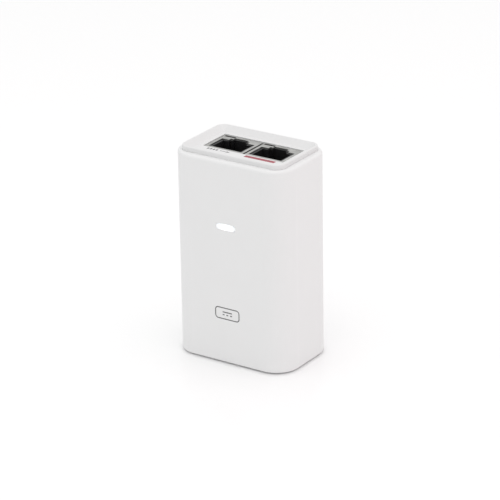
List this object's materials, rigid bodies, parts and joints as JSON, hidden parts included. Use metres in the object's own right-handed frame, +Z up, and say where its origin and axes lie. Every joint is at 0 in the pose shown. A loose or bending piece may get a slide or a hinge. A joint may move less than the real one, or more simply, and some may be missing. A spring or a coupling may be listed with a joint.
{
  "type": "poe injector",
  "caption": "Small white upright box that adds power to a network cable, with two network sockets in its top, a mains inlet below and a wall bracket behind.",
  "frame": {"origin": "middle of the footprint, on the surface the feet stand on", "axes": "+Z up, -Y out of the front face with the indicator, +X to the right of the front"},
  "size_m": [0.047, 0.0318, 0.0774],
  "materials": {
    "white_case": "satin moulded plastic, very light grain",
    "white_cap": "smooth moulded plastic",
    "white_bracket": "satin moulded plastic",
    "shield_steel": "tin-plated sheet",
    "socket_black": "moulded insulator",
    "contact_gold": "gold-plated",
    "foot_rubber": "soft rubber",
    "screw_steel": "zinc-plated",
    "label_silver": "blank label film",
    "lens_white": "milky light pipe",
    "ink_grey": "printed",
    "ink_red": "printed",
    "inlet_black": "moulded insulator",
    "pin_brass": "nickel-plated",
    "board_green": "solder mask",
    "glass_fuse": "ceramic tube",
    "disc_blue": "dipped coating",
    "film_yellow": "moulded case",
    "ferrite": "sintered ferrite",
    "copper_wire": "enamelled wire",
    "chip_black": "moulded package",
    "can_aluminium": "sleeved can",
    "tape_yellow": "polyester tape",
    "sink_aluminium": "bare sheet",
    "sheet_film": "insulating sheet",
    "led_amber": "clear package"
  },
  "bodies": {
    "injector": {"housing": "white_case", "port_cap": "white_cap", "base_cover": "white_case", "rubber_feet": "foot_rubber", "cover_screws": "screw_steel", "rating_label": "label_silver", "light_pipe": "lens_white", "indicator_led": "led_amber", "voltage_badge": "ink_grey", "power_port_mark": "ink_red", "data_port_mark": "ink_grey", "inlet_body": "inlet_black", "inlet_pins": "pin_brass", "main_board": "board_green", "fuse": "glass_fuse", "varistor": "disc_blue", "x_capacitor": "film_yellow", "y_capacitor": "disc_blue", "choke_core": "ferrite", "choke_windings": "copper_wire", "bridge_rectifier": "chip_black", "bulk_capacitors": "can_aluminium", "transformer_core": "ferrite", "transformer_bobbin": "chip_black", "transformer_winding": "tape_yellow", "heat_sink": "sink_aluminium", "switch_transistor": "chip_black", "controller_chip": "chip_black", "optocoupler": "chip_black", "output_diode": "chip_black", "output_capacitors": "can_aluminium", "data_magnetics": "chip_black", "insulation_sheet": "sheet_film", "jack_shield_data": "shield_steel", "jack_shield_power": "shield_steel", "jack_body_data": "socket_black", "jack_body_power": "socket_black", "jack_contacts_data": "contact_gold", "jack_contacts_power": "contact_gold"},
    "bracket": {"wall_bracket": "white_bracket"}
  },
  "joints": [
    {"name": "bracket_slide", "type": "slide", "parent": "injector", "child": "bracket", "axis": [0, 0, -1], "range_m": [0, 0.038]}
  ]
}
